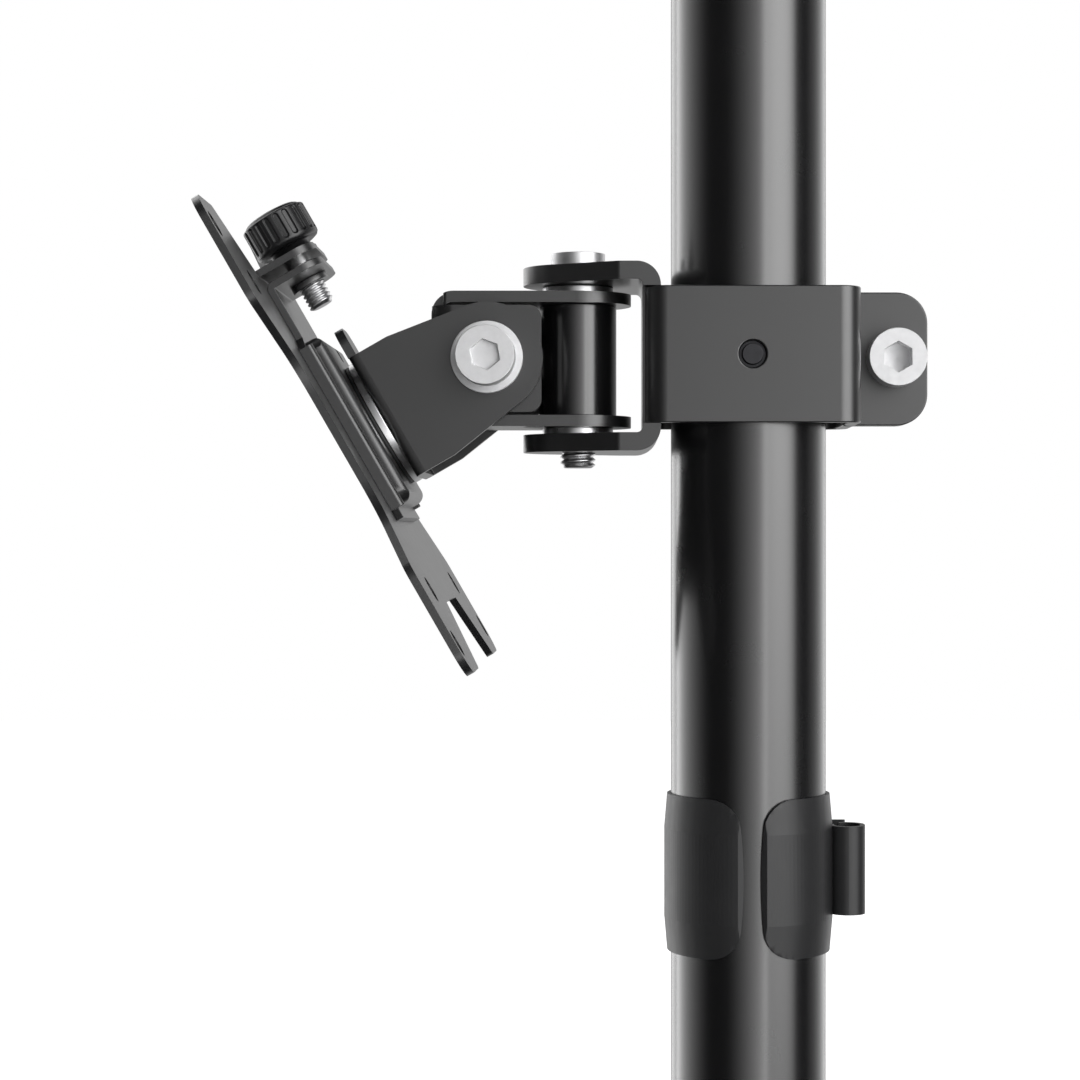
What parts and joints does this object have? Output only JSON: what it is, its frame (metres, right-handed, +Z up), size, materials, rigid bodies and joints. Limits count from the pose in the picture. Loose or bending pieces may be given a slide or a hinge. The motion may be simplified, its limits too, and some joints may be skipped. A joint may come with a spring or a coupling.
{
  "type": "monitor stand",
  "caption": "Free-standing monitor stand: a round pole on a flat base with a height clamp, swivel, tilt and rotating mounting plate and a cable clip.",
  "frame": {"origin": "on the floor under the rubber feet, on the axis of the pole, which is the centre of the base", "axes": "+Z up along the pole; -X towards the monitor, along the head; +Y to the far side of the head as the picture shows it"},
  "size_m": [0.3, 0.22, 0.453],
  "materials": {
    "sheet": "smooth satin black powder coat",
    "steel": "bright zinc-plated steel",
    "dark_steel": "dull plated steel",
    "pole": "polished dark chrome tube",
    "plastic": "moulded black plastic",
    "rubber": "matte black rubber"
  },
  "bodies": {
    "stand": {"base_plate": "sheet", "rubber_feet": "rubber", "pole_socket": "sheet", "base_screws": "steel", "socket_set_screws": "steel", "pole": "pole", "pole_cap": "plastic"},
    "collar": {"clamp_front": "sheet", "clamp_rear": "sheet", "clevis_bracket": "sheet", "clamp_screw": "steel", "clamp_washer": "steel", "clamp_nut": "steel", "pole_set_screw": "dark_steel", "swivel_bolt": "steel", "swivel_washers": "steel", "thin_washer": "plastic"},
    "yoke": {"spacer_tube": "sheet", "yoke_bracket": "sheet", "tilt_sleeve": "sheet", "side_washers": "steel"},
    "tilt_head": {"tilt_bracket": "sheet", "tilt_bolt": "steel", "tilt_washers": "steel", "tilt_nut": "steel", "thrust_disc": "steel"},
    "pocket": {"friction_washer": "plastic", "receiver_plate": "sheet", "pivot_rivet": "steel", "pivot_washer": "steel", "pivot_nut": "steel", "pocket_bracket": "sheet", "tab_nut": "sheet", "hook_studs": "steel"},
    "monitor_plate": {"vesa_plate": "sheet"},
    "lock_screw": {"thumb_washer": "plastic", "thumb_stud": "steel", "thumb_knob": "plastic"},
    "cable_guide": {"cable_clip": "plastic"}
  },
  "joints": [
    {"name": "height", "type": "slide", "parent": "stand", "child": "collar", "axis": [0, 0, 1], "range_m": [-0.045, 0.09]},
    {"name": "swivel", "type": "hinge", "parent": "collar", "child": "yoke", "pos_m": [-0.0385, 0, 0.34], "axis": [0, 0, 1], "range_deg": [-60, 60]},
    {"name": "tilt", "type": "hinge", "parent": "yoke", "child": "tilt_head", "pos_m": [-0.0583, 0, 0.34], "axis": [0, 1, 0], "range_deg": [-15, 60]},
    {"name": "roll", "type": "hinge", "parent": "tilt_head", "child": "pocket", "pos_m": [-0.08281, 0, 0.32585], "axis": [-0.866, 0, -0.5], "range_deg": [-180, 180]},
    {"name": "release", "type": "slide", "parent": "pocket", "child": "monitor_plate", "axis": [-0.5, 0, 0.866], "range_m": [-0.002, 0]},
    {"name": "lock_turn", "type": "hinge", "parent": "pocket", "child": "lock_screw", "pos_m": [-0.09626, 0, 0.35295], "axis": [-0.5, 0, 0.866], "range_deg": [0, 180]},
    {"name": "cable_guide_height", "type": "slide", "parent": "stand", "child": "cable_guide", "axis": [0, 0, 1], "range_m": [-0.14, 0.03]}
  ]
}
